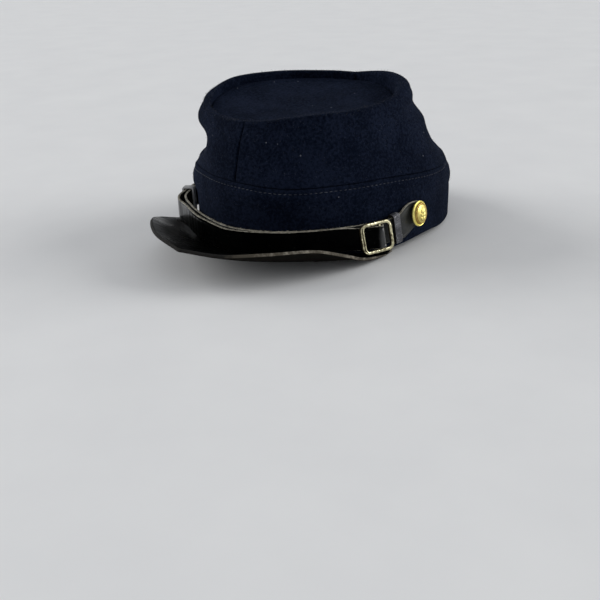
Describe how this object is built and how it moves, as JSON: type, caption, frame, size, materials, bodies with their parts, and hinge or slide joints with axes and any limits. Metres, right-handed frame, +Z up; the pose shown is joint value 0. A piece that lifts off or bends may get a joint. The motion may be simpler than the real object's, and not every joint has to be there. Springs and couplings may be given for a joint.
{
  "type": "kepi cap",
  "caption": "Soft wool kepi with a raised band, a forward-tilted sunk crown, a leather visor, and a chin strap with a brass slide and side buttons.",
  "frame": {"origin": "on the surface the cap rests on, under the middle of its bounding box", "axes": "+Z up; -Y towards the visor, which is the front; +X towards the wearer's left, where the slide is"},
  "size_m": [0.18, 0.2629, 0.1048],
  "materials": {
    "navy_wool": "matt, finely woven, slightly napped",
    "black_leather": "polished on the grain side, with tan cut edges and a rough brown underside",
    "buckle_brass": "worn, bright on its edges",
    "button_brass": "bright gilt with a stamped relief"
  },
  "bodies": {
    "root": {"band": "navy_wool", "crown_side_left": "navy_wool", "crown_side_right": "navy_wool", "crown_top": "navy_wool", "visor": "black_leather", "chin_strap_inner": "black_leather", "chin_strap_outer": "black_leather", "keeper_left": "black_leather", "keeper_right": "black_leather", "buckle": "buckle_brass", "button_left": "button_brass", "button_right": "button_brass"}
  },
  "joints": []
}
